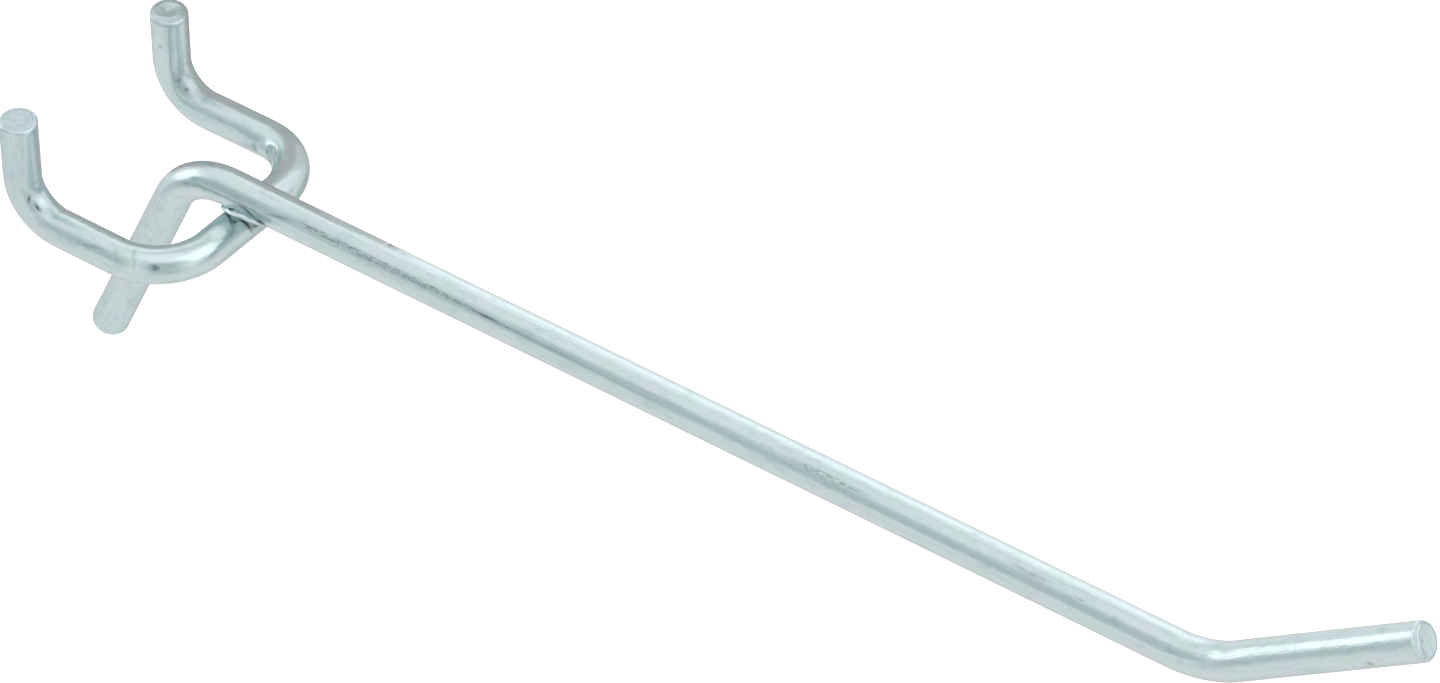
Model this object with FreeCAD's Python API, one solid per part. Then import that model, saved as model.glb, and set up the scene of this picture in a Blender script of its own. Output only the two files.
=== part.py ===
"""Double-prong pegboard hook: two bent round wires, cross-welded and zinc-plated.

Millimetres. +Z is up, -Y runs out along the arm and +Y goes into the board.
The origin lies midway between the two pegs, where their axes meet the board's front face.
"""
import FreeCAD
import Part

import math
import os

from FreeCAD import Vector

# Wire stock
peg_wire_diameter = 4.3
arm_wire_diameter = 4.3

# Sheared ends: a rolled rim around a slightly sunken face
end_length = 1.2
end_rounding = 0.5
end_rim_width = 0.3
end_dish_depth = 0.12

# Peg wire: crossbar in front, two pegs through the board, two prongs up behind it
peg_pitch = 25.4
crossbar_to_board = 14.8
crossbar_to_prong = 20.4
left_prong_height = 12.9
right_prong_height = 11.8
corner_bend_radius = 7.0
prong_bend_radius = 5.1

# Arm wire: leg, rear bend, straight arm, front bend and rising tip
arm_reach = 152.4
tip_run = 25.4
tip_angle = 34.0
tip_bend_radius = 14.0
rear_overhang = 7.5
leg_angle = 65.0
leg_length = 31.6
leg_bend_radius = 9.2

# Cross weld: how far the wires sink into each other, and the metal squeezed out round them
weld_set_down = 0.3
weld_flash = 0.7

peg_radius = peg_wire_diameter / 2
arm_radius = arm_wire_diameter / 2
crossbar_y = -crossbar_to_board
arm_height = peg_radius + arm_radius - weld_set_down
seat_height = peg_radius - weld_set_down / 2


def cut_end(end, outward, radius):
    """Last stretch of a wire: a cylinder whose far end has a rolled rim and a shallow dish."""
    side = radius - end_rounding
    dish = side - end_rim_width
    shoulder = end_length - end_rounding
    bow = end_rounding * math.sqrt(0.5)
    outline = [
        Part.makeLine(Vector(0, 0, 0), Vector(radius, 0, 0)),
        Part.makeLine(Vector(radius, 0, 0), Vector(radius, 0, shoulder)),
        Part.Arc(
            Vector(radius, 0, shoulder),
            Vector(side + bow, 0, shoulder + bow),
            Vector(side, 0, end_length),
        ).toShape(),
        Part.makeLine(Vector(side, 0, end_length), Vector(dish, 0, end_length)),
        Part.makeLine(Vector(dish, 0, end_length), Vector(0, 0, end_length - end_dish_depth)),
        Part.makeLine(Vector(0, 0, end_length - end_dish_depth), Vector(0, 0, 0)),
    ]
    solid = Part.Face(Part.Wire(outline)).revolve(Vector(0, 0, 0), Vector(0, 0, 1), 360)
    turn = FreeCAD.Rotation(Vector(0, 0, 1), outward)
    solid.Placement = FreeCAD.Placement(end - outward * end_length, turn)
    return solid


def bend(corner, before, after, bend_radius, radius):
    """Round wire turned about a corner: a disc revolved through the angle between two runs."""
    turn = before.getAngle(after)
    setback = bend_radius * math.tan(turn / 2)
    start = corner - before * setback
    axis = before.cross(after).normalize()
    centre = start + axis.cross(before) * bend_radius
    disc = Part.Face(Part.Wire(Part.makeCircle(radius, start, before)))
    return disc.revolve(centre, axis, math.degrees(turn)), setback


def bent_wire(corners, bend_radii, radius):
    """One wire through its corner points: straight runs, round bends and two cut ends."""
    directions = [(b - a).normalize() for a, b in zip(corners, corners[1:])]
    pieces = []
    setbacks = [end_length]
    for corner, before, after, bend_radius in zip(corners[1:-1], directions, directions[1:], bend_radii):
        turned, setback = bend(corner, before, after, bend_radius, radius)
        pieces.append(turned)
        setbacks.append(setback)
    setbacks.append(end_length)
    for i, direction in enumerate(directions):
        start = corners[i] + direction * setbacks[i]
        stop = corners[i + 1] - direction * setbacks[i + 1]
        pieces.append(Part.makeCylinder(radius, start.distanceToPoint(stop), start, direction))
    pieces.append(cut_end(corners[0], directions[0] * -1, radius))
    pieces.append(cut_end(corners[-1], directions[-1], radius))
    return pieces[0].multiFuse(pieces[1:]).removeSplitter()


def peg_wire_blank():
    """U-shaped wire: left prong, left peg, crossbar, right peg, right prong."""
    half = peg_pitch / 2
    prong_y = crossbar_y + crossbar_to_prong
    corners = [
        Vector(-half, prong_y, left_prong_height),
        Vector(-half, prong_y, 0),
        Vector(-half, crossbar_y, 0),
        Vector(half, crossbar_y, 0),
        Vector(half, prong_y, 0),
        Vector(half, prong_y, right_prong_height),
    ]
    radii = [prong_bend_radius, corner_bend_radius, corner_bend_radius, prong_bend_radius]
    return bent_wire(corners, radii, peg_radius)


def arm_wire_blank():
    """Arm over the crossbar, with its leg down behind the crossbar and its tip raised in front."""
    down = math.radians(leg_angle)
    rise = math.radians(tip_angle)
    rear = Vector(0, crossbar_y + rear_overhang, arm_height)
    foot = rear + Vector(0, math.cos(down), -math.sin(down)) * leg_length
    front = Vector(0, crossbar_y - arm_reach + tip_run, arm_height)
    tip = front + Vector(0, -tip_run, tip_run * math.tan(rise))
    return bent_wire([foot, rear, front, tip], [leg_bend_radius, tip_bend_radius], arm_radius)


def weld_collar():
    """Metal squeezed out at the crossing: where both wires, made thicker by the flash, overlap."""
    arm_skin = arm_radius + weld_flash
    bar_skin = peg_radius + weld_flash
    along_arm = Part.makeCylinder(
        arm_skin, 2 * bar_skin, Vector(0, crossbar_y - bar_skin, arm_height), Vector(0, 1, 0)
    )
    along_bar = Part.makeCylinder(bar_skin, 2 * arm_skin, Vector(-arm_skin, crossbar_y, 0), Vector(1, 0, 0))
    return along_arm.common(along_bar)


def above_seat(shape):
    """The part of a shape above the flat where the two wires meet."""
    box = shape.BoundBox
    slab = Part.makeBox(box.XLength, box.YLength, box.ZLength, Vector(box.XMin, box.YMin, seat_height))
    return shape.common(slab)


def build():
    """Both wires, flattened into each other at the weld, with the squeezed-out metal on the arm."""
    peg_blank = peg_wire_blank()
    arm_blank = arm_wire_blank()
    peg_wire = peg_blank.cut(above_seat(arm_blank))
    arm_wire = arm_blank.fuse(weld_collar()).cut(peg_wire.copy()).removeSplitter()
    return {"peg_wire": peg_wire, "arm_wire": arm_wire}


os.makedirs("parts", exist_ok=True)
for name, shape in build().items():
    shape.exportStep("parts/" + name + ".step")
    print(name, shape.ShapeType, len(shape.Solids), shape.isValid(), round(shape.Volume, 2), shape.BoundBox)
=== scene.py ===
"""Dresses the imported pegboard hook: drawn steel wire, bent, cross-welded and zinc-plated.

The hook's sizes are in millimetres, as a wire bender gives them, and one factor turns them to
metres where a mesh is made. The studio's sizes are in metres. +Z is up, -Y runs out along the
arm, +Y goes into the board.
"""

import logging
import math
from dataclasses import dataclass
from enum import Enum

import bpy
import numpy as np
from mathutils import Matrix, Vector


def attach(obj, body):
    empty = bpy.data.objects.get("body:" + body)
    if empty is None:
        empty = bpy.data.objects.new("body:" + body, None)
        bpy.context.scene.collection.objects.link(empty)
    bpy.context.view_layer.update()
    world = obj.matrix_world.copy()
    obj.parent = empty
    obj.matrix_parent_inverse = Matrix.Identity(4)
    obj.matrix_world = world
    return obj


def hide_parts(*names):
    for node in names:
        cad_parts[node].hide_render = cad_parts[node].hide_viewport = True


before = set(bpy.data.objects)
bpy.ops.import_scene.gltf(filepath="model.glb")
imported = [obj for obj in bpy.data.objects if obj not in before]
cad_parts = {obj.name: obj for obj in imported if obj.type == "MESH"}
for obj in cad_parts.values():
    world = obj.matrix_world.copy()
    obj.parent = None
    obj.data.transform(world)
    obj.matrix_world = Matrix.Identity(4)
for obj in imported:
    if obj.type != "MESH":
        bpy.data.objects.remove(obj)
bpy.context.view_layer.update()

logging.basicConfig(level=logging.INFO, format="%(message)s")
log = logging.getLogger("pegboard_hook")

# Short names for types
Triple = tuple[float, float, float]
Piece = bpy.types.Object
Finish = bpy.types.Material
Tree = bpy.types.NodeTree
Socket = bpy.types.NodeSocket
Value = Socket | float | tuple[float, ...]

MM = 0.001
BODY = "root"

# The wires' diameter and the place where they cross
WIRE_DIAMETER = 4.3
CROSSBAR_TO_BOARD = 14.8
ARM_HEIGHT = 4.0

# How far inside the wire's radius its skin starts. Every mark goes further in
SKIN_INSET = 0.004

# Names of the values that the finish reads from the mesh
PLACE = "wire_place"
# This value darkens the colour: real stains and marks, and painted shade in crevices, under the weld's lips
# and over some highlights
STAIN_AND_SHADE = "stain_and_shade"
RUB = "rub"


# Centrelines


def unit(vector: np.ndarray) -> np.ndarray:
    """The same direction, one long."""
    return vector / np.linalg.norm(vector, axis=-1, keepdims=True)


@dataclass(frozen=True)
class Span:
    """One straight run or one bend of a centreline. A run has no bend radius."""

    begins: float
    length: float
    origin: np.ndarray
    heading: np.ndarray
    zero: np.ndarray
    axis: np.ndarray
    bend_radius: float


@dataclass(frozen=True)
class Stations:
    """Places along a centreline, one row each.

    Forward follows the wire, zero is the ring's 0 degrees, quarter its 90 degrees, and pull is the
    direction to the bend's centre divided by the bend radius, which is nothing on a run.
    """

    centre: np.ndarray
    forward: np.ndarray
    zero: np.ndarray
    quarter: np.ndarray
    pull: np.ndarray


@dataclass(frozen=True)
class Route:
    """Centreline of a bent wire: straight runs through corners that are rounded by bends.

    The ring's 0 degrees start out on the side of the wire that faces zero_faces.
    """

    corners: tuple[Triple, ...]
    bend_radii: tuple[float, ...]
    zero_faces: Triple

    def spans(self) -> list[Span]:
        """Works out the runs and bends in order.

        A bend of radius R through angle a takes R * tan(a / 2) off the runs on both sides of its
        corner. The ring's zero direction turns with the bend and never twists.

        Returns:
            The spans, with the arc length at which each begins.
        """
        points = [np.array(p, float) for p in self.corners]
        headings = [unit(b - a) for a, b in zip(points, points[1:])]
        zero = np.array(self.zero_faces, float)
        zero = unit(zero - (zero @ headings[0]) * headings[0])
        spans: list[Span] = []
        begins, start = 0.0, points[0]
        bends = zip(points[1:-1], headings, headings[1:], self.bend_radii)
        for corner, before, after, radius in bends:
            angle = math.acos(float(np.clip(before @ after, -1, 1)))
            stop = corner - before * radius * math.tan(angle / 2)
            run = float(np.linalg.norm(stop - start))
            axis = unit(np.cross(before, after))
            spans.append(Span(begins, run, start, before, zero, axis, 0.0))
            spans.append(Span(begins + run, radius * angle, stop, before, zero, axis, radius))
            zero = (zero @ axis) * axis + (zero @ np.cross(axis, before)) * np.cross(axis, after)
            begins += run + radius * angle
            start = corner + after * radius * math.tan(angle / 2)
        last = float(np.linalg.norm(points[-1] - start))
        spans.append(Span(begins, last, start, headings[-1], zero, np.zeros(3), 0.0))
        return spans

    def length(self) -> float:
        """Arc length from end to end."""
        last = self.spans()[-1]
        return last.begins + last.length

    def stations(self, run: np.ndarray) -> Stations:
        """Places at the given arc lengths.

        On a run the centre is origin + heading * u. On a bend it goes round the centre
        origin + inward * R by the angle u / R, and every direction turns by that angle.

        Args:
            run: Arc lengths. Those past an end carry on straight.

        Returns:
            One row per arc length.
        """
        rows = {key: np.zeros((len(run), 3)) for key in ("centre", "forward", "zero", "pull")}
        spans = self.spans()
        for index, span in enumerate(spans):
            low = -np.inf if index == 0 else span.begins
            high = np.inf if index == len(spans) - 1 else span.begins + span.length
            here = (run >= low) & (run < high)
            u = (run[here] - span.begins)[:, None]
            if not span.bend_radius:
                rows["centre"][here] = span.origin + span.heading * u
                rows["forward"][here] = span.heading
                rows["zero"][here] = span.zero
                continue
            inward = np.cross(span.axis, span.heading)
            turn = u / span.bend_radius
            forward = span.heading * np.cos(turn) + inward * np.sin(turn)
            to_centre = inward * np.cos(turn) - span.heading * np.sin(turn)
            rows["centre"][here] = span.origin + (inward - to_centre) * span.bend_radius
            rows["forward"][here] = forward
            rows["zero"][here] = (span.zero @ span.axis) * span.axis + (span.zero @ inward) * to_centre
            rows["pull"][here] = to_centre / span.bend_radius
        return Stations(**rows, quarter=np.cross(rows["forward"], rows["zero"]))


# Meshes


def add_object(name: str, data: bpy.types.ID) -> Piece:
    """Puts a mesh, a lamp or a camera into the scene.

    Args:
        name: The object's name.
        data: What it shows.

    Returns:
        The object, at the origin.
    """
    piece = bpy.data.objects.new(name, data)
    bpy.context.scene.collection.objects.link(piece)
    return piece


def sweep_mesh(name: str, rings: np.ndarray, first: np.ndarray, last: np.ndarray) -> Piece:
    """Joins rings of points into one closed skin.

    Neighbouring rings share four-sided faces, and a fan of triangles closes each end on its pole.

    Args:
        name: The piece's name.
        rings: Points in millimetres, rings by points by three, counted round the way ahead.
        first: Pole before the first ring.
        last: Pole after the last ring.

    Returns:
        The piece, at the origin, with its place in its mesh.
    """
    count, around = rings.shape[:2]
    points = np.concatenate([rings.reshape(-1, 3), first[None], last[None]]) * MM
    ring, step = np.meshgrid(np.arange(count - 1), np.arange(around), indexing="ij")
    after = (step + 1) % around
    here, ahead = ring * around, (ring + 1) * around
    quads = np.stack([here + step, here + after, ahead + after, ahead + step], -1).reshape(-1, 4)
    edge = np.arange(around)
    beside = (edge + 1) % around
    end = (count - 1) * around
    start_fan = np.stack([np.full(around, count * around), beside, edge], -1)
    end_fan = np.stack([np.full(around, count * around + 1), end + edge, end + beside], -1)
    mesh = bpy.data.meshes.new(name)
    mesh.from_pydata(points, [], quads.tolist() + start_fan.tolist() + end_fan.tolist())
    mesh.shade_smooth()
    return add_object(name, mesh)


def dress(piece: Piece, finish: Finish, place: np.ndarray, stain_and_shade: np.ndarray, rub: np.ndarray) -> None:
    """Gives a piece its finish with the values that it reads and its body.

    Args:
        piece: The piece.
        finish: Its finish.
        place: Where each point lies in the finish's patterns, in millimetres.
        stain_and_shade: How dark each point is, from real stains and painted shade, 0 to 1.
        rub: How dull each point is rubbed, 0 to 1.
    """
    for name, values in ((PLACE, place), (STAIN_AND_SHADE, stain_and_shade), (RUB, rub)):
        kind, part = ("FLOAT_VECTOR", "vector") if values.ndim == 2 else ("FLOAT", "value")
        attribute = piece.data.attributes.new(name, kind, "POINT")
        attribute.data.foreach_set(part, values.astype(np.float32).ravel())
    piece.data.materials.append(finish)
    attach(piece, BODY)
    log.info("%s: %d faces", piece.name, len(piece.data.polygons))


# Wire


@dataclass(frozen=True)
class Nick:
    """A dent, scratch or stain in the wire's skin, or a spot of painted shade: a bell-shaped hollow on the
    unrolled surface.

    Run is an arc length and around an angle in degrees. Along and across are the bell's
    half-widths, and lean turns it by degrees.
    """

    run: float
    around: float
    along: float
    across: float
    depth: float
    stain_and_shade: float
    lean: float = 0.0


@dataclass(frozen=True)
class Flat:
    """A round spot of the wire's skin, pressed flat by a share of its bulge.

    It is darkened on a rim of this width, and inside it by the share inside. The edge is how
    softly the pressed spot ends.
    """

    run: float
    around: float
    reach: float
    press: float
    stain_and_shade: float
    rim: float = 0.12
    inside: float = 0.6
    edge: float = 0.06


@dataclass(frozen=True)
class Patch:
    """A stretch where the plating is rubbed dull, with dark drawn lines."""

    run: float
    around: float
    along: float
    across: float
    rub: float


@dataclass(frozen=True)
class ShearedEnd:
    """How a wire is cut off: the blade comes in on one side and rolls the metal over, and leaves
    on the other side with a sharper edge. Inside a narrow ledge lies a slightly sunken face.

    Its stain_and_shade and rub say how dark and how dull the cut is.
    """

    roll_side: float = 0.0
    face: float = 1.6
    shift: float = 0.1
    oval: float = 0.05
    sharp: float = 0.14
    rolled: float = 0.5
    lean: float = 0.2
    lip: float = 0.05
    least_ledge: float = 0.1
    ledge_drop: float = 0.07
    dish: float = 0.1
    tear: float = 0.014
    stain_and_shade: float = 0.08
    rub: float = 0.5
    seed: int = 0

    def profile(self, angle: np.ndarray, radius: float) -> tuple[np.ndarray, np.ndarray]:
        """Distance from the axis and height of the cut, from its middle out to the wire's side.

        Face: a parabola, dish * (t * t - 1) below the lip. Ledge: a slope of ledge_drop. Shoulder:
        a quarter circle whose radius goes from sharp to rolled as (1 + cos) / 2 of the angle from
        the side that the blade came in on. The whole cut leans down to that side.

        Args:
            angle: Angles round the wire in radians.
            radius: The wire's radius.

        Returns:
            Two arrays, rings by angles, with 0 as the highest point of a cut that doesn't lean.
        """
        turned = angle - math.radians(self.roll_side)
        share = (1 + np.cos(turned)) / 2
        wave = 0.02 * np.cos(3 * turned + self.seed) + 0.012 * np.cos(7 * turned + 2 * self.seed)
        shoulder = self.sharp + (self.rolled - self.sharp) * share
        outer = radius - shoulder
        inner = self.face * (1 - self.oval * np.cos(2 * turned) + wave) + self.shift * np.cos(turned)
        inner = np.minimum(inner, outer - self.least_ledge)
        reach, height = [], []
        # Face
        for t in np.linspace(0.12, 0.92, 9):
            reach.append(inner * t)
            height.append(self.dish * (t * t - 1) + self.torn(inner * t, angle))
        # Lip
        for t, lift in ((0.96, -0.3), (0.99, 0.0), (1.02, -0.3), (1.05, -1.0)):
            reach.append(np.minimum(inner * t, outer - 0.3 * self.least_ledge))
            height.append(self.lip * lift + 0 * angle)
        # Ledge
        start = reach[-1]
        for t in (0.3, 0.6, 0.85, 1.0):
            reach.append(start + (outer - start) * t)
            height.append(-self.lip - self.ledge_drop * t * t * (0.4 + share))
        # Shoulder
        drop = self.lip + self.ledge_drop * (0.4 + share)
        for t in np.radians(np.linspace(10, 90, 8)):
            reach.append(outer + shoulder * np.sin(t))
            height.append(-drop - shoulder * (1 - np.cos(t)))
        lean = self.lean * (1 + np.array(reach) * np.cos(turned) / radius) / 2
        return np.array(reach), np.array(height) - lean

    def torn(self, reach: np.ndarray, angle: np.ndarray) -> np.ndarray:
        """Lines of the shear across the face: three waves of unlike length in one direction.

        Args:
            reach: Distances from the axis.
            angle: Angles round the wire in radians.

        Returns:
            Heights over the face.
        """
        lean = math.radians(self.roll_side + 20)
        way = reach * np.cos(angle - lean)
        cross = reach * np.sin(angle - lean)
        lines = np.sin(5.1 * way + self.seed) + 0.6 * np.sin(9.7 * way + 1.3 * cross)
        return self.tear * (lines + 0.4 * np.sin(4.3 * cross + self.seed))


@dataclass(frozen=True)
class Wire:
    """Round wire carried along a route, with the marks that drawing, bending and handling left, and
    spots of painted shade.

    Its rings are fine over a stretch at either end and between fine_from and fine_to. Drawn lists
    the die's waves: how many go round the wire, and their height.
    """

    name: str
    node: str
    route: Route
    radius: float
    first_end: ShearedEnd
    last_end: ShearedEnd
    fine_from: float
    fine_to: float
    nicks: tuple[Nick, ...] = ()
    flats: tuple[Flat, ...] = ()
    patches: tuple[Patch, ...] = ()
    drawn: tuple[tuple[int, float], ...] = ((3, 0.003), (5, 0.003), (9, 0.0022), (14, 0.0016), (23, 0.001))
    around: int = 112
    step: float = 0.3
    fine_step: float = 0.1
    fine_end: float = 3.0
    end_gap: float = 0.02
    ovality: float = 1.2
    cap_edge: float = 0.4
    seed: int = 1

    def runs(self, first_drop: float, last_drop: float) -> np.ndarray:
        """Arc lengths of the rings between the two cut ends, closer together where it is fine.

        A stretch leaves out the ring that would stand within 0.4 of a step of the next stretch.

        Args:
            first_drop: How far the first end's shoulder reaches back.
            last_drop: The same for the last end.

        Returns:
            Rising arc lengths.
        """
        start = first_drop + self.end_gap
        stop = self.route.length() - last_drop - self.end_gap
        stretches = (
            (start, start + self.fine_end, self.fine_step),
            (start + self.fine_end, self.fine_from, self.step),
            (self.fine_from, self.fine_to, self.fine_step),
            (self.fine_to, stop - self.fine_end, self.step),
            (stop - self.fine_end, stop, self.fine_step),
        )
        parts = [np.arange(a, b - 0.4 * step, step) for a, b, step in stretches if b > a]
        return np.append(np.concatenate(parts), stop)

    def skin(self, run: np.ndarray, angle: np.ndarray) -> tuple[np.ndarray, np.ndarray, np.ndarray]:
        """Radius, stains with painted shade, and rub over the unrolled surface.

        Radius: the wire's own, less a bell for each nick, with drawn lines as waves round the wire
        whose phase drifts slowly along it. A flat is darkened here, and pressed in the build.

        Args:
            run: Arc lengths, a column.
            angle: Angles round the wire, a row.

        Returns:
            Three arrays, rings by angles.
        """
        draw = np.random.default_rng(self.seed)
        radius = np.full((run.shape[0], angle.shape[1]), self.radius)
        for waves, height in self.drawn:
            drift = draw.uniform(0.4, 1.4)
            phase = draw.uniform(0, 2 * np.pi)
            pace = draw.uniform(18, 46)
            swing = drift * np.sin(run / pace + phase)
            radius += height * (np.cos(waves * angle + phase + swing) - 1)
        stain_and_shade, rub = np.zeros_like(radius), np.zeros_like(radius)
        for mark in self.nicks + self.flats + self.patches:
            turn = (angle - math.radians(mark.around) + np.pi) % (2 * np.pi) - np.pi
            ahead, aside = run - mark.run, turn * self.radius
            if isinstance(mark, Flat):
                past = np.hypot(ahead, aside) - mark.reach
                stain_and_shade += mark.stain_and_shade * (np.exp(-((past / mark.rim) ** 2)) + mark.inside * (past < 0))
                continue
            lean = math.radians(mark.lean if isinstance(mark, Nick) else 0.0)
            u = ahead * math.cos(lean) + aside * math.sin(lean)
            v = aside * math.cos(lean) - ahead * math.sin(lean)
            bell = np.exp(-((u / mark.along) ** 2) - (v / mark.across) ** 2)
            if isinstance(mark, Patch):
                rub += mark.rub * bell
            else:
                radius -= mark.depth * bell
                stain_and_shade += mark.stain_and_shade * bell
        return radius, np.clip(stain_and_shade, 0, 1), np.clip(rub, 0, 1)

    def pressed(self, points: np.ndarray, flat: Flat) -> np.ndarray:
        """Presses the skin down to a plane inside a flat's round rim.

        The plane lies reach squared / (2 * radius) below the skin. A point above it goes down to it
        times a share of 1 / (1 + exp(distance past the rim / edge)).

        Args:
            points: The skin, rings by points by three.
            flat: The flat.

        Returns:
            The pressed skin.
        """
        spot = self.route.stations(np.array([flat.run]))
        turn = math.radians(flat.around)
        out = (spot.zero * math.cos(turn) + spot.quarter * math.sin(turn))[0]
        away = points - spot.centre[0] - out * self.radius
        height = away @ out
        aside = np.linalg.norm(away - height[..., None] * out, axis=-1)
        near = np.abs(height) < self.radius
        share = flat.press * near / (1 + np.exp(np.clip((aside - flat.reach) / flat.edge, -30, 30)))
        above = np.clip(height + flat.reach**2 / (2 * self.radius), 0, None)
        return points - out * (share * above)[..., None]

    def with_cuts(self, values: np.ndarray, cuts: tuple[float, float],
                  reaches: tuple[np.ndarray, np.ndarray]) -> np.ndarray:
        """Adds the values of the two cut ends and their poles to those of the skin.

        A cut's value is its own times the distance from the wire's side / cap_edge, at most 1. The
        first cut has these values from its middle out, and the last one has them from its rim in.

        Args:
            values: Values over the skin, rings by angles.
            cuts: Value of the first and of the last cut.
            reaches: Distances from the axis over either cut.

        Returns:
            One value per point of the wire's mesh.
        """
        first, last = (cut * np.clip((self.radius - reach) / self.cap_edge, 0, 1)
                       for cut, reach in zip(cuts, reaches))
        return np.append(np.concatenate([first, values, last]).ravel(), cuts)

    def build(self, finish: Finish) -> Piece:
        """Builds the wire's skin and its two cut ends as one closed mesh.

        A point stands at centre + radius * (zero * cos + quarter * sin) + forward * height, and a
        bend pulls the section slightly oval, as -ovality * cos squared towards its centre.

        Args:
            finish: The wire's finish.

        Returns:
            The finished piece, in place of its CAD node.
        """
        first, last = self.first_end, self.last_end
        angle = np.linspace(0, 2 * np.pi, self.around, endpoint=False)
        cos, sin = np.cos(angle), np.sin(angle)
        length = self.route.length()
        in_reach, in_height = first.profile(angle, self.radius)
        out_reach, out_height = last.profile(angle, self.radius)
        body_run = self.runs(float(-in_height.min()), float(-out_height.min()))[:, None]
        body, stain_and_shade, rub = self.skin(body_run, angle[None])
        edge_in, edge_out = body[0] / self.radius, body[-1] / self.radius
        reach = np.concatenate([in_reach * edge_in, body, out_reach[::-1] * edge_out])
        body_run = np.repeat(body_run, self.around, 1)
        run = np.concatenate([-in_height, body_run, length + out_height[::-1]])
        at = self.route.stations(run[:, 0])
        ahead = at.forward[:, None] * (run - run[:, :1])[..., None]
        out = at.zero[:, None] * cos[None, :, None] + at.quarter[:, None] * sin[None, :, None]
        tight = (out * at.pull[:, None]).sum(-1)
        reach = reach - self.ovality * tight**2
        points = at.centre[:, None] + out * reach[..., None] + ahead
        for flat in self.flats:
            points = self.pressed(points, flat)
        ends = self.route.stations(np.array([-in_height[0].mean(), length + out_height[0].mean()]))
        piece = sweep_mesh(self.name, points, ends.centre[0], ends.centre[1])
        place = np.stack([reach * cos, reach * sin, run], -1).reshape(-1, 3)
        poles = np.array([[0, 0, run[0, 0]], [0, 0, run[-1, 0]]])
        stain_and_shade = self.with_cuts(stain_and_shade, (first.stain_and_shade, last.stain_and_shade), (in_reach, out_reach))
        rub = self.with_cuts(rub, (first.rub, last.rub), (in_reach, out_reach))
        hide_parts(self.node)
        dress(piece, finish, np.concatenate([place, poles]), stain_and_shade, rub)
        return piece


# Finish


def colour(code: str) -> tuple[float, float, float, float]:
    """Turns an sRGB hex colour to a linear one.

    Args:
        code: The colour as a hash and six digits.

    Returns:
        Linear red, green, blue and alpha.
    """
    parts = [int(code[i : i + 2], 16) / 255 for i in (1, 3, 5)]
    linear = [p / 12.92 if p <= 0.04045 else ((p + 0.055) / 1.055) ** 2.4 for p in parts]
    return (linear[0], linear[1], linear[2], 1.0)


def add_node(tree: Tree, kind: str, inputs: dict | None = None, **settings: object) -> bpy.types.Node:
    """Adds a node, sets it and links or fills its sockets.

    Args:
        tree: The tree that gets the node.
        kind: The node's type.
        inputs: Socket name or number to a value or to another node's output.
        settings: The node's own properties.

    Returns:
        The node.
    """
    node = tree.nodes.new(kind)
    for key, value in settings.items():
        setattr(node, key, value)
    for key, value in (inputs or {}).items():
        if isinstance(value, Socket):
            tree.links.new(value, node.inputs[key])
        else:
            node.inputs[key].default_value = value
    return node


@dataclass(frozen=True)
class Recipe:
    """The steps that a finish or the world's light is mixed from, as nodes of its tree."""

    tree: Tree

    def kept(self, name: str, output: str = "Fac") -> Socket:
        """A value that the mesh holds."""
        return add_node(self.tree, "ShaderNodeAttribute", attribute_name=name).outputs[output]

    def noise(self, place: Socket, across: float, along: float, detail: float, rough: float) -> Socket:
        """Noise over the wire.

        Args:
            place: The place on the wire.
            across: Size of the pattern across the wire in millimetres.
            along: Its size along the wire.
            detail: How many finer layers it has.
            rough: How strong these are.

        Returns:
            The noise, about 0.5 on average.
        """
        spread = self.vector("MULTIPLY", place, (1 / across, 1 / across, 1 / along))
        sockets = {"Vector": spread, "Scale": 1.0, "Detail": detail, "Roughness": rough}
        return add_node(self.tree, "ShaderNodeTexNoise", sockets, noise_dimensions="3D").outputs["Fac"]

    def ramp(self, value: Socket, low: float, high: float, to_low: float = 0, to_high: float = 1) -> Socket:
        """Stretches low..high to the range to_low..to_high, with soft ends."""
        ranges = {"From Min": low, "From Max": high, "To Min": to_low, "To Max": to_high}
        sockets = {"Value": value, **ranges}
        return add_node(self.tree, "ShaderNodeMapRange", sockets, interpolation_type="SMOOTHSTEP").outputs[0]

    def blend(self, share: Value, first: Value, second: Value) -> Socket:
        """Mixes two colours by a share."""
        sockets = {0: share, 6: first, 7: second}
        return add_node(self.tree, "ShaderNodeMix", sockets, data_type="RGBA").outputs[2]

    def math(self, operation: str, first: Value, second: Value) -> Socket:
        """One sum of two numbers."""
        return add_node(self.tree, "ShaderNodeMath", {0: first, 1: second}, operation=operation).outputs[0]

    def vector(self, operation: str, first: Value, second: Value, output: str = "Vector") -> Socket:
        """One sum of two vectors."""
        node = add_node(self.tree, "ShaderNodeVectorMath", {0: first, 1: second}, operation=operation)
        return node.outputs[output]


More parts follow.
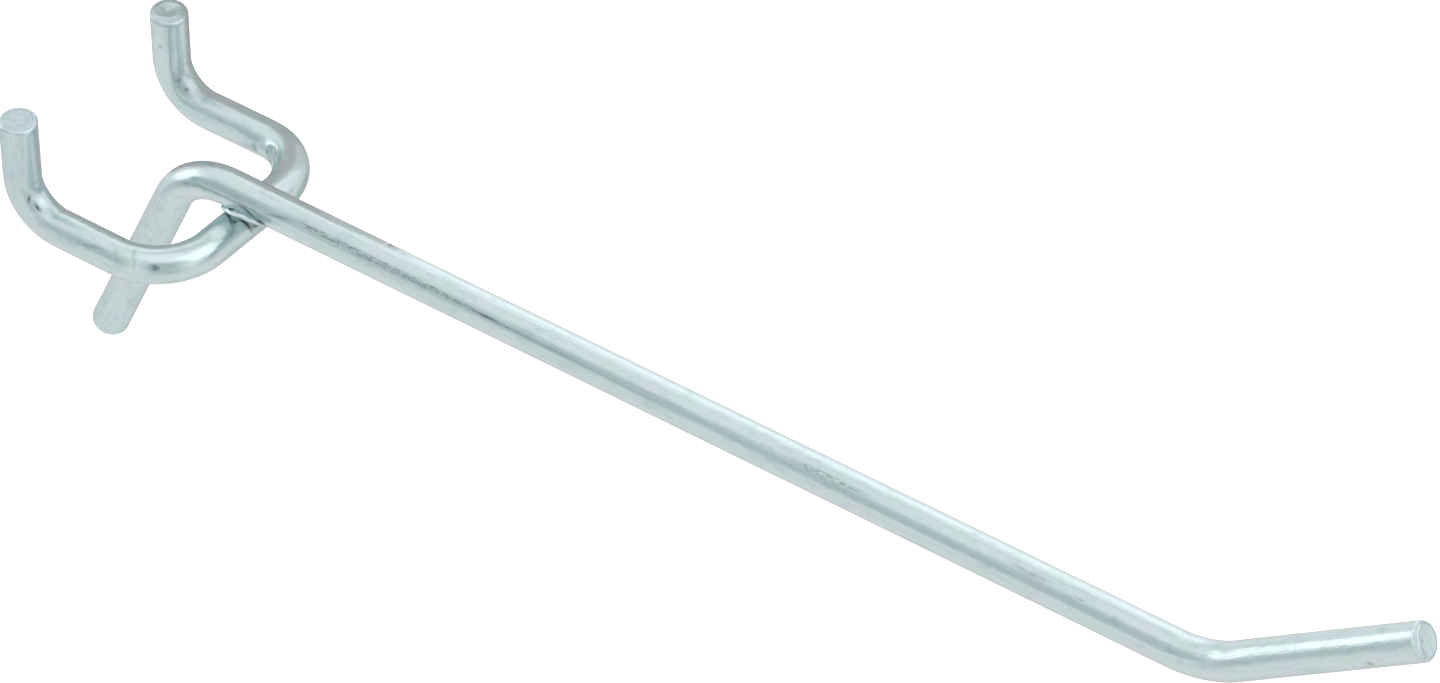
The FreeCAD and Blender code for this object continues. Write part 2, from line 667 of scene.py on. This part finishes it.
@dataclass(frozen=True)
class ZincPlate:
    """Electroplated zinc with a clear blue passivate, over cold-drawn steel wire.

    To the eye: a pale blue-white metal, between bright and satin, clouded with faint green and
    lilac where the passivate is thicker, and streaked lengthwise by the drawing die. The real
    streaks are 0.05 mm apart, and are drawn at 0.3 mm so that they show.

    A share says how far a layer covers those below it where it is at its strongest.
    """

    name: str = "zinc_plated_drawn_wire"
    pale_blue: str = "#c8dadd"
    green_tint: str = "#c0d8cf"
    lilac_tint: str = "#d0d4e0"
    streak_tint: str = "#a9bfc6"
    dark: str = "#3c4a4c"
    edge: str = "#dfe1e2"
    cloud_mm: float = 2.2
    streak_mm: float = 0.3
    streak_long_mm: float = 9.0
    mottle_mm: float = 0.8
    score_mm: float = 0.2
    score_long_mm: float = 0.7
    green_share: float = 0.7
    lilac_share: float = 0.6
    streak_share: float = 0.3
    mottle_share: float = 0.36
    rub_share: float = 0.45
    score_share: float = 0.5
    roughness: float = 0.22
    rubbed_roughness: float = 0.2
    dirt_and_shade_roughness: float = 0.25
    bump_mm: float = 0.02
    mottle_bump: float = 2.0

    def make(self) -> Finish:
        """Builds the material, where each layer of colour is blended over those before it.

        Returns:
            The finish, reading the wire's own place, its stains and painted shade, and its rub.
        """
        finish = bpy.data.materials.new(self.name)
        finish.use_nodes = True
        tree = finish.node_tree
        mix = Recipe(tree)
        place, stain_and_shade, rub = mix.kept(PLACE, "Vector"), mix.kept(STAIN_AND_SHADE), mix.kept(RUB)
        cloud = mix.noise(place, self.cloud_mm, 2 * self.cloud_mm, 3, 0.55)
        tint = mix.noise(place, 1.7 * self.cloud_mm, 1.3 * self.cloud_mm, 2, 0.5)
        streak = mix.noise(place, self.streak_mm, self.streak_long_mm, 3, 0.6)
        mottle = mix.noise(place, self.mottle_mm, 2 * self.mottle_mm, 2, 0.5)
        scores = mix.noise(place, self.score_mm, self.score_long_mm, 3, 0.8)
        rubbed = mix.math("MULTIPLY", rub, mix.ramp(streak, 0.35, 0.6))
        score = mix.math("MULTIPLY", mix.ramp(scores, 0.47, 0.58), mix.ramp(rub, 0.6, 1.0))
        # Real scores and stains, and the painted shade that the mesh carries, darken towards the dark colour
        dirt_and_shade = mix.math("MAXIMUM", mix.math("MULTIPLY", score, self.score_share), stain_and_shade)
        layers = (
            (self.green_tint, mix.ramp(cloud, 0.4, 0.75, 0.0, self.green_share)),
            (self.lilac_tint, mix.ramp(tint, 0.45, 0.8, 0.0, self.lilac_share)),
            (self.streak_tint, mix.ramp(streak, 0.52, 0.75, 0.0, self.streak_share)),
            (self.streak_tint, mix.ramp(mottle, 0.5, 0.75, 0.0, self.mottle_share)),
            (self.streak_tint, mix.math("MULTIPLY", rubbed, self.rub_share)),
            (self.dark, dirt_and_shade),
        )
        base = colour(self.pale_blue)
        for code, share in layers:
            base = mix.blend(share, base, colour(code))
        rough = mix.ramp(streak, 0.3, 0.7, self.roughness - 0.04, self.roughness + 0.05)
        for value, more in ((rub, self.rubbed_roughness), (dirt_and_shade, self.dirt_and_shade_roughness)):
            rough = mix.math("ADD", rough, mix.math("MULTIPLY", value, more))
        height = mix.math("ADD", streak, mix.math("MULTIPLY", mottle, self.mottle_bump))
        height = mix.math("SUBTRACT", height, score)
        sockets = {"Height": height, "Distance": self.bump_mm * MM, "Strength": 1.0}
        bump = add_node(tree, "ShaderNodeBump", sockets).outputs["Normal"]
        shader = tree.nodes["Principled BSDF"]
        for socket, value in (("Base Color", base), ("Roughness", rough), ("Normal", bump)):
            tree.links.new(value, shader.inputs[socket])
        shader.inputs["Metallic"].default_value = 1.0
        shader.inputs["Specular Tint"].default_value = colour(self.edge)
        return finish


# Hook


@dataclass(frozen=True)
class PegWire:
    """The U-shaped wire: left prong, left peg, crossbar, right peg, right prong."""

    diameter: float = WIRE_DIAMETER
    pitch: float = 25.4
    crossbar_to_board: float = CROSSBAR_TO_BOARD
    crossbar_to_prong: float = 20.4
    left_height: float = 12.9
    right_height: float = 11.8
    corner_bend: float = 7.0
    prong_bend: float = 5.1

    def route(self) -> Route:
        """Its centreline.

        Returns:
            The route from the left prong's top to the right one's.
        """
        half, bar = self.pitch / 2, -self.crossbar_to_board
        prong = bar + self.crossbar_to_prong
        corners = (
            (-half, prong, self.left_height),
            (-half, prong, 0.0),
            (-half, bar, 0.0),
            (half, bar, 0.0),
            (half, prong, 0.0),
            (half, prong, self.right_height),
        )
        radii = (self.prong_bend, self.corner_bend, self.corner_bend, self.prong_bend)
        return Route(corners, radii, (0.0, 1.0, 0.0))

    def build(self, finish: Finish) -> Piece:
        """Builds the wire with its bending marks and its painted shade.

        Args:
            finish: The wire's finish.

        Returns:
            The finished piece.
        """
        nicks = (
            # Left prong's bend: two dents, and painted shade that dims its highlight
            Nick(10.2, 221, 0.55, 0.15, 0.05, 0.9, 22),
            Nick(12.2, 214, 0.7, 0.15, 0.06, 0.95),
            Nick(13.4, 204, 1.7, 0.9, 0.0, 0.12),
            # Left peg and the bend after it: scratches and a row of specks
            Nick(21.8, 230, 2.2, 0.16, 0.015, 0.3, -10),
            Nick(24.7, 216, 0.16, 0.5, 0.02, 0.25, -20),
            Nick(26.5, 210, 0.13, 1.1, 0.03, 0.35, -8),
            Nick(28.4, 234, 0.2, 0.22, 0.05, 0.75),
            Nick(28.7, 239, 0.2, 0.2, 0.05, 0.8),
            Nick(28.5, 245, 0.25, 0.16, 0.03, 0.5),
            # Crossbar: painted shade round the weld, in the crevice under the lip and where the arm shades
            # it
            Nick(39.3, 187, 0.35, 0.45, 0.0, 1.0),
            Nick(39.35, 222, 0.24, 1.4, 0.0, 0.9, -14),
            Nick(40.1, 236, 1.5, 0.7, 0.0, 0.25),
            Nick(40.6, 252, 0.7, 0.4, 0.0, 0.8),
            # Right bend: painted shade across the pressed flat
            Nick(53.5, 116, 1.4, 0.75, 0.0, 0.1, -31),
            # Right prong: painted shade that dims its bend's highlight, and three specks
            Nick(69.2, 155, 2.7, 1.1, 0.0, 0.28),
            Nick(69.5, 147, 0.3, 0.2, 0.04, 0.55, -30),
            Nick(71.5, 141, 0.28, 0.2, 0.04, 0.6, 30),
            Nick(76.8, 98, 0.22, 0.2, 0.03, 0.45),
        )
        left = ShearedEnd(233, face=1.5, shift=-0.16, lip=0.07, tear=0.01, stain_and_shade=0.12, seed=2)
        right = ShearedEnd(140, face=1.4, shift=-0.22, lip=0.06, tear=0.007, stain_and_shade=0.1, seed=5)
        wire = Wire(
            "peg_wire_plated", "peg_wire", self.route(), self.diameter / 2 - SKIN_INSET, left, right,
            fine_from=36.0, fine_to=56.0, seed=11, nicks=nicks,
            flats=(Flat(53.5, 114, 0.98, 1.0, 0.3),),
            patches=(
                Patch(6, 240, 9, 4, 0.55), Patch(75, 141, 8, 0.65, 0.6), Patch(68, 165, 3, 2, 0.3),
            ),
        )
        return wire.build(finish)


@dataclass(frozen=True)
class ArmWire:
    """The long wire: leg, rear bend, straight arm, front bend and rising tip."""

    diameter: float = WIRE_DIAMETER
    crossbar_to_board: float = CROSSBAR_TO_BOARD
    height: float = ARM_HEIGHT
    reach: float = 152.4
    tip_run: float = 25.4
    tip_angle: float = 34.0
    tip_bend: float = 14.0
    rear_overhang: float = 7.5
    leg_angle: float = 65.0
    leg_length: float = 31.6
    leg_bend: float = 9.2

    def route(self) -> Route:
        """Its centreline.

        Returns:
            The route from the foot of the leg to the tip.
        """
        down, rise = math.radians(self.leg_angle), math.radians(self.tip_angle)
        rear = -self.crossbar_to_board + self.rear_overhang
        front = -self.crossbar_to_board - self.reach + self.tip_run
        foot_y = rear + self.leg_length * math.cos(down)
        foot_z = self.height - self.leg_length * math.sin(down)
        corners = (
            (0.0, foot_y, foot_z),
            (0.0, rear, self.height),
            (0.0, front, self.height),
            (0.0, front - self.tip_run, self.height + self.tip_run * math.tan(rise)),
        )
        return Route(corners, (self.leg_bend, self.tip_bend), (0.0, 1.0, 0.0))

    def build(self, finish: Finish) -> Piece:
        """Builds the wire with its handling marks, rubbed stretches and painted shade beside the weld.

        Args:
            finish: The wire's finish.

        Returns:
            The finished piece.
        """
        nicks = (
            # Beside the weld: painted shade where the crossbar shades the arm, and dents darkened with
            # painted crevice shade
            Nick(37.5, 62, 4.5, 0.6, 0.0, 0.2),
            Nick(40.6, 92, 1.0, 0.18, 0.08, 1.0, 26),
            Nick(42.1, 112, 0.55, 0.5, 0.06, 1.0, 15),
            Nick(44.6, 58, 1.6, 0.16, 0.03, 0.5, -8),
            # The nick on top
            Nick(57.9, 324, 0.22, 0.75, 0.06, 1.0),
            # Scratches in the rubbed stretches
            Nick(66, 52.5, 9, 0.11, 0.01, 0.3, 0.3),
            Nick(73, 54.5, 1.2, 0.14, 0.02, 0.5),
            Nick(80, 56, 9, 0.1, 0.01, 0.4, 0.2),
            Nick(142.1, 30, 0.9, 0.1, 0.01, 0.25, 8),
            Nick(149.9, 37, 0.5, 0.12, 0.02, 0.3, -6),
            # A speck on the tip
            Nick(188.5, 112, 0.3, 0.3, 0.04, 0.55),
        )
        foot = ShearedEnd(283, seed=3)
        tip = ShearedEnd(
            245, face=1.5, shift=0.2, oval=0.14, lip=0.03, tear=0.005, stain_and_shade=0.0, rub=0.1, seed=7
        )
        wire = Wire(
            "arm_wire_plated", "arm_wire", self.route(), self.diameter / 2 - SKIN_INSET, foot, tip,
            fine_from=36.0, fine_to=44.0, seed=23, nicks=nicks,
            patches=(
                Patch(50, 49, 7, 0.5, 0.85), Patch(63, 51, 8, 0.45, 0.9), Patch(73, 55, 4, 0.3, 1.0),
                Patch(82, 56.5, 8, 0.2, 0.9), Patch(60, 46, 14, 0.8, 0.35), Patch(104, 52, 14, 0.4, 0.5),
                Patch(118, 37, 9, 0.6, 0.95), Patch(144, 32, 6, 0.5, 0.85), Patch(85, 86, 2.5, 0.6, 0.45),
            ),
        )
        return wire.build(finish)


# Weld


def smooth_line(points: np.ndarray, count: int) -> np.ndarray:
    """A Catmull-Rom curve through points.

    Between two points it is the cubic whose slopes at both are half the step between their
    neighbours. The end points stand in for the neighbours that they lack.

    Args:
        points: Rows to pass through.
        count: How many rows to return.

    Returns:
        Evenly spaced rows, first and last point included.
    """
    padded = np.concatenate([points[:1], points, points[-1:]])
    t = np.linspace(0, len(points) - 1 - 1e-9, count)
    i = t.astype(int)
    f = (t - i)[:, None]
    a, b, c, d = (padded[i + k] for k in range(4))
    return b + 0.5 * f * (c - a + f * (2 * a - 5 * b + 4 * c - d + f * (3 * (b - c) + d - a)))


@dataclass(frozen=True)
class WeldLip:
    """A fold of metal squeezed out of the weld, lying along one flank of the arm.

    Tall and proud are its half-widths from end to end. The groove where it closed runs along it
    at an angle in radians that swings to both sides of groove_at, darkened with painted shade.
    """

    name: str
    line: tuple[Triple, ...]
    tall: tuple[float, ...]
    proud: tuple[float, ...]
    outward: Triple
    crease: float = 0.25
    groove_at: float = 0.3
    groove_swing: float = 0.15
    groove_width: float = 0.28
    groove_shade: float = 0.85
    pole_gap: float = 0.02
    seed: int = 0
    rings: int = 110
    around: int = 40

    def build(self, finish: Finish) -> Piece:
        """Builds the fold as a closed bead.

        Its section is an ellipse, proud by tall, less crease times the bell-shaped groove. Both
        half-widths swell and thin in two waves, and shrink to nothing at its ends as
        (1 - |2u - 1| ** 6) ** 0.5.

        Args:
            finish: The weld's finish.

        Returns:
            The finished piece.
        """
        centre = smooth_line(np.array(self.line, float), self.rings + 2)[1:-1]
        forward = unit(np.gradient(centre, axis=0))
        out = np.array(self.outward, float)
        out = unit(out - (forward @ out)[:, None] * forward)
        over = np.cross(forward, out)
        u = np.linspace(0, 1, self.rings + 2)[1:-1]
        taper = np.sqrt(1 - np.abs(2 * u - 1) ** 6)
        lump = 1 + 0.1 * np.sin(9 * u + self.seed) + 0.06 * np.sin(23 * u + 2 * self.seed)
        keys = np.linspace(0, 1, len(self.tall))
        tall = (np.interp(u, keys, self.tall) * taper * lump)[:, None]
        proud = (np.interp(u, keys, self.proud) * taper * (2 - lump))[:, None]
        angle = np.linspace(0, 2 * np.pi, self.around, endpoint=False)[None]
        groove_at = self.groove_at + self.groove_swing * np.sin(5 * u + self.seed)[:, None]
        turned = (angle - groove_at + np.pi) % (2 * np.pi) - np.pi
        groove = np.exp(-((turned / self.groove_width) ** 2))
        size = 1 - self.crease * groove
        aside, above = proud * np.cos(angle) * size, tall * np.sin(angle) * size
        rings = centre[:, None] + out[:, None] * aside[..., None] + over[:, None] * above[..., None]
        ends = centre[0] - forward[0] * self.pole_gap, centre[-1] + forward[-1] * self.pole_gap
        piece = sweep_mesh(self.name, rings, *ends)
        # Painted crease shade along the groove, fading towards the ends
        stain_and_shade = self.groove_shade * groove * np.clip(3 * taper[:, None] - 1, 0, 1)
        place = np.concatenate([rings.reshape(-1, 3), ends])
        dress(piece, finish, place, np.append(stain_and_shade.ravel(), [0, 0]), np.zeros(len(place)))
        return piece


@dataclass(frozen=True)
class CrossWeld:
    """Where arm and crossbar are pressed into each other: a nugget between them and two lips.

    The nugget is darkened by painted shade towards the arm, under the lips: it starts at its
    shade_from share of the height and is full after shade_over.
    """

    bar_y: float = -CROSSBAR_TO_BOARD
    arm_z: float = ARM_HEIGHT
    radius: float = WIRE_DIAMETER / 2
    reach: float = 1.86
    bulge: float = 0.22
    sink: float = 0.2
    pole_heights: tuple[float, float] = (1.6, 2.4)
    stain_and_shade: float = 0.8
    shade_from: float = 0.25
    shade_over: float = 0.35
    around: int = 96
    rings: int = 19

    def nugget(self, finish: Finish) -> Piece:
        """Builds the metal that fills the gap round the contact.

        A point at angle a and share t stands reach(a) + bulge * sin(pi * t) from the crossing and
        at height bar + t * (arm - bar). Bar is the crossbar's top there, the root of its radius
        squared less y squared, and arm is the arm's underside, both sunk a little into the wires.

        Args:
            finish: The weld's finish.

        Returns:
            The finished piece.
        """
        angle = np.linspace(0, 2 * np.pi, self.around, endpoint=False)[None]
        t = np.linspace(0, 1, self.rings)[:, None]
        reach = self.reach + 0.09 * np.cos(3 * angle + 0.7) + 0.06 * np.cos(5 * angle + 2.1)
        reach = reach + 0.05 * np.cos(9 * angle + 6 * t) * np.sin(np.pi * t)
        reach = reach + self.bulge * np.sin(np.pi * t)
        x, y = reach * np.cos(angle), reach * np.sin(angle)
        squared, least = self.radius**2, self.sink**2
        bar = np.sqrt(np.clip(squared - y * y, least, None)) - self.sink
        arm = self.arm_z - np.sqrt(np.clip(squared - x * x, least, None)) + self.sink
        z = bar + t * (arm - bar)
        rings = np.stack([x, y + self.bar_y, z], -1)
        poles = np.array([[0, self.bar_y, height] for height in self.pole_heights])
        piece = sweep_mesh("weld_nugget", rings, poles[0], poles[1])
        # Painted shade under the lips, darkest towards the arm
        shade = np.clip((t - self.shade_from) / self.shade_over, 0, 1)
        stain_and_shade = self.stain_and_shade * shade * shade * (3 - 2 * shade) + 0 * angle
        place = np.concatenate([rings.reshape(-1, 3), poles])
        dress(piece, finish, place, np.append(stain_and_shade.ravel(), [0, 0]), np.zeros(len(place)))
        return piece

    def build(self, finish: Finish) -> list[Piece]:
        """Builds the nugget and the folds on both flanks of the arm.

        Args:
            finish: The weld's finish.

        Returns:
            The three finished pieces.
        """
        left = WeldLip(
            "weld_lip_left",
            ((-1.25, -12.95, 2.05), (-1.5, -13.9, 2.35), (-1.72, -15.0, 2.78), (-1.82, -16.3, 2.96),
             (-1.84, -17.4, 2.88), (-1.8, -18.3, 2.82), (-1.62, -19.0, 2.86)),
            tall=(0.34, 0.32, 0.28, 0.26, 0.24, 0.21, 0.16),
            proud=(0.42, 0.55, 0.64, 0.64, 0.58, 0.48, 0.32),
            outward=(-1.0, 0.0, -0.3), seed=1,
        )
        right = WeldLip(
            "weld_lip_right",
            ((1.2, -12.9, 1.9), (1.5, -14.2, 2.3), (1.75, -15.6, 2.6), (1.7, -16.9, 2.6), (1.5, -17.8, 2.6)),
            tall=(0.38, 0.36, 0.3, 0.28, 0.2),
            proud=(0.3, 0.34, 0.32, 0.28, 0.2),
            outward=(1.0, 0.0, -0.35), seed=4,
        )
        return [self.nugget(finish), left.build(finish), right.build(finish)]


# Studio


@dataclass(frozen=True)
class Glow:
    """A soft patch of the surroundings: where it is, the angles at which it is full and gone, and
    what it adds to their red, green and blue, or takes away."""

    azimuth: float
    elevation: float
    inner: float
    outer: float
    gain: Triple


@dataclass(frozen=True)
class Card:
    """An upright glowing card of painted shade beside the hook: two ends and two heights in metres,
    and its grey.
    """

    name: str
    begins: tuple[float, float]
    ends: tuple[float, float]
    low: float
    high: float
    grey: Triple


class Softbox(Enum):
    """Lamps round the object: azimuth and elevation in degrees, width in metres and glow.

    The glow is what a lamp adds to its part of the tent in reflections, where 1 is white.
    """

    FRONT = (16.0, 46.0, 0.75, 0.5)
    RIGHT = (116.0, 38.0, 0.66, 0.2)
    BEHIND = (194.0, 11.0, 0.48, 0.6)


def aim(azimuth: float, elevation: float) -> Vector:
    """The direction from the object at an azimuth, where 0 is -Y and 90 is +X, and an elevation."""
    a, e = math.radians(azimuth), math.radians(elevation)
    return Vector((math.sin(a) * math.cos(e), -math.cos(a) * math.cos(e), math.sin(e)))


@dataclass(frozen=True)
class Studio:
    """White tent, pale floor, glowing cards of painted shade, three softboxes and the camera.

    The metal sees the tent above the table's edge and the table below it, both with soft darker
    parts where a real tent is open or in shade. It also sees the cards, glowing grey sheets of
    painted shade, but the camera doesn't.
    """

    subject: Triple = (0.0, -0.075, 0.0)
    tent: Triple = (1.06, 1.04, 1.05)
    table: Triple = (0.98, 0.96, 0.95)
    table_edge: tuple[float, float] = (2.0, 6.0)
    floor_drop: float = 0.11
    floor_reach: float = 1.6
    floor_sides: int = 96
    paper_colour: tuple[float, ...] = (0.86, 0.87, 0.875, 1.0)
    paper_lift: tuple[float, ...] = (0.3, 0.3, 0.3, 1.0)
    lamp_distance: float = 0.9
    lamp_colour: Triple = (1.0, 0.95, 0.92)
    camera_at: Triple = (-0.500807, -0.459620, 0.552950)
    camera_to: Triple = (0.006852, -0.0748, 0.008434)
    camera_roll: float = -0.503
    camera_range: tuple[float, float] = (0.05, 20.0)
    focal_px: float = 7936.2
    picture_px: float = 1440.0
    # Glowing grey sheets seen only in reflections: painted shade that darkens the metal's edges where the
    # real surroundings would be in shade
    shade_cards: tuple[Card, ...] = (
        Card("painted_shade_card_grey", (0.03, -0.008), (0.03, 0.08), -0.02, 0.038, (0.6, 0.57, 0.56)),
        Card("painted_shade_card_pale", (0.03, -0.019), (0.03, -0.008), -0.02, 0.027, (0.8, 0.76, 0.74)),
        Card("painted_shade_card_front", (0.085, -0.23), (0.2, -0.23), 0.0, 0.075, (0.62, 0.66, 0.68)),
    )
    tent_glows: tuple[Glow, ...] = (
        Glow(-50, 26, 8, 34, (-0.42, -0.36, -0.35)),
        Glow(-119, 18, 8, 36, (-0.42, -0.35, -0.34)),
        Glow(88, 16, 3, 15, (-0.3, -0.3, -0.3)),
        Glow(105, 66, 8, 24, (-0.2, -0.18, -0.18)),
        Glow(158, 18, 3, 13, (-0.12, -0.1, -0.1)),
        Glow(-55, 74, 12, 32, (0.18, 0.14, 0.19)),
        Glow(119, 14, 10, 28, (0.3, 0.28, 0.29)),
        Glow(84, 44, 5, 16, (0.22, 0.2, 0.2)),
    )
    table_glows: tuple[Glow, ...] = (
        Glow(75, -33, 8, 30, (-0.3, -0.29, -0.29)),
        Glow(-42, -4, 8, 28, (-0.28, -0.24, -0.23)),
        Glow(-143, -12, 4, 22, (-0.3, -0.25, -0.22)),
        Glow(15, -5, 4, 16, (-0.2, -0.18, -0.17)),
        Glow(150, -12, 6, 22, (0.2, 0.18, 0.18)),
        Glow(118, -10, 8, 22, (0.3, 0.26, 0.26)),
        Glow(128, -38, 8, 28, (-0.1, -0.16, -0.15)),
        Glow(-170, -62, 10, 36, (0.12, 0.06, 0.06)),
    )

    def surroundings(self, mix: Recipe, way: Socket, plain: Triple, glows: tuple[Glow, ...]) -> Value:
        """A plain brightness with glows added to it.

        A glow's share is a smooth step of the cosine of the angle to its middle, from none at its
        outer angle to all of it at its inner one.

        Args:
            mix: The world's recipe.
            way: The direction that is looked in.
            plain: The brightness without any glow.
            glows: The glows.

        Returns:
            The brightness in that direction.
        """
        total = plain
        for glow in glows:
            near = mix.vector("DOT_PRODUCT", way, tuple(aim(glow.azimuth, glow.elevation)), "Value")
            low, high = (math.cos(math.radians(angle)) for angle in (glow.outer, glow.inner))
            part = mix.vector("MULTIPLY", glow.gain, mix.ramp(near, low, high))
            total = mix.vector("ADD", total, part)
        return total

    def tent_light(self) -> None:
        """The world: white to the camera, and to the metal a tent over a table."""
        world = bpy.data.worlds.new("white_tent")
        bpy.context.scene.world = world
        world.use_nodes = True
        tree = world.node_tree
        tree.nodes.clear()
        mix = Recipe(tree)
        way = add_node(tree, "ShaderNodeTexCoord").outputs["Generated"]
        height = add_node(tree, "ShaderNodeSeparateXYZ", {0: way}).outputs["Z"]
        above = mix.ramp(height, *(math.sin(math.radians(e)) for e in self.table_edge))
        table = self.surroundings(mix, way, self.table, self.table_glows)
        tent = self.surroundings(mix, way, self.tent, self.tent_glows)
        seen = add_node(tree, "ShaderNodeMix", {0: above, 4: table, 5: tent}, data_type="VECTOR")
        lit = add_node(tree, "ShaderNodeBackground", {"Color": seen.outputs[1]})
        white = add_node(tree, "ShaderNodeBackground", {"Color": colour("#ffffff")})
        ray = add_node(tree, "ShaderNodeLightPath")
        sockets = {0: ray.outputs["Is Camera Ray"], 1: lit.outputs[0], 2: white.outputs[0]}
        both = add_node(tree, "ShaderNodeMixShader", sockets)
        add_node(tree, "ShaderNodeOutputWorld", {"Surface": both.outputs[0]})

    def floor(self) -> None:
        """A round pale floor below the hanging hook. It keeps the hook's shadow."""
        angle = np.linspace(0, 2 * np.pi, self.floor_sides, endpoint=False)
        rim = np.stack([np.cos(angle), np.sin(angle), 0 * angle], -1) * self.floor_reach
        rim += np.array(self.subject) - np.array([0, 0, self.floor_drop])
        mesh = bpy.data.meshes.new("floor")
        mesh.from_pydata(rim, [], [list(range(self.floor_sides))])
        add_object("floor", mesh)
        paper = bpy.data.materials.new("matt_white_paper")
        paper.use_nodes = True
        tree = paper.node_tree
        tree.nodes.clear()
        matt = add_node(tree, "ShaderNodeBsdfDiffuse", {"Color": self.paper_colour})
        ray = add_node(tree, "ShaderNodeLightPath")
        lift = {"Strength": ray.outputs["Is Camera Ray"], "Color": self.paper_lift}
        shine = add_node(tree, "ShaderNodeEmission", lift)
        both = add_node(tree, "ShaderNodeAddShader", {0: matt.outputs[0], 1: shine.outputs[0]})
        clear = add_node(tree, "ShaderNodeBsdfTransparent")
        sockets = {0: ray.outputs["Is Glossy Ray"], 1: both.outputs[0], 2: clear.outputs[0]}
        seen = add_node(tree, "ShaderNodeMixShader", sockets)
        add_node(tree, "ShaderNodeOutputMaterial", {"Surface": seen.outputs[0]})
        mesh.materials.append(paper)

    def card(self, card: Card) -> None:
        """Stands up a glowing grey card, painted shade seen only in the metal, which draws its edges.

        Args:
            card: Its name, place and grey.
        """
        corners = (
            (*card.begins, card.low), (*card.ends, card.low),
            (*card.ends, card.high), (*card.begins, card.high),
        )
        mesh = bpy.data.meshes.new(card.name)
        mesh.from_pydata(corners, [], [(0, 1, 2, 3)])
        piece = add_object(card.name, mesh)
        piece.visible_camera = piece.visible_diffuse = piece.visible_shadow = False
        grey = bpy.data.materials.new(card.name)
        grey.use_nodes = True
        grey.node_tree.nodes.clear()
        even = add_node(grey.node_tree, "ShaderNodeEmission", {"Color": (*card.grey, 1)})
        add_node(grey.node_tree, "ShaderNodeOutputMaterial", {"Surface": even.outputs[0]})
        mesh.materials.append(grey)

    def lamp(self, box: Softbox) -> None:
        """Hangs a square lamp that faces the hook. Its power is glow * pi * area.

        Args:
            box: Which lamp.
        """
        azimuth, elevation, width, glow = box.value
        data = bpy.data.lights.new("softbox_" + box.name.lower(), "AREA")
        data.size = width
        data.energy = glow * math.pi * width * width
        data.color = self.lamp_colour
        lamp = add_object(data.name, data)
        way = aim(azimuth, elevation)
        lamp.location = Vector(self.subject) + way * self.lamp_distance
        lamp.rotation_euler = (-way).to_track_quat("-Z", "Y").to_euler()

    def camera(self) -> None:
        """The camera at the photograph's angle, with no shift and no depth of field."""
        data = bpy.data.cameras.new("camera")
        camera = add_object("camera", data)
        data.sensor_fit = "HORIZONTAL"
        data.lens = self.focal_px / self.picture_px * data.sensor_width
        data.clip_start, data.clip_end = self.camera_range
        at, to = Vector(self.camera_at), Vector(self.camera_to)
        back = (at - to).normalized()
        right = Vector((0, 0, 1)).cross(back).normalized()
        up = back.cross(right)
        roll = math.radians(self.camera_roll)
        cos, sin = math.cos(roll), math.sin(roll)
        turn = Matrix((right * cos + up * sin, up * cos - right * sin, back)).transposed().to_4x4()
        camera.matrix_world = Matrix.Translation(at) @ turn
        bpy.context.scene.camera = camera

    def set_up(self) -> None:
        """Lights, floor, cards, camera and view transform."""
        self.tent_light()
        self.floor()
        for card in self.shade_cards:
            self.card(card)
        for box in Softbox:
            self.lamp(box)
        self.camera()
        bpy.context.scene.view_settings.view_transform = "Standard"


def main() -> None:
    """Builds the hook's two wires, their weld and the studio."""
    zinc = ZincPlate().make()
    for maker in (PegWire(), ArmWire(), CrossWeld()):
        maker.build(zinc)
    Studio().set_up()


if __name__ == "__main__":
    main()
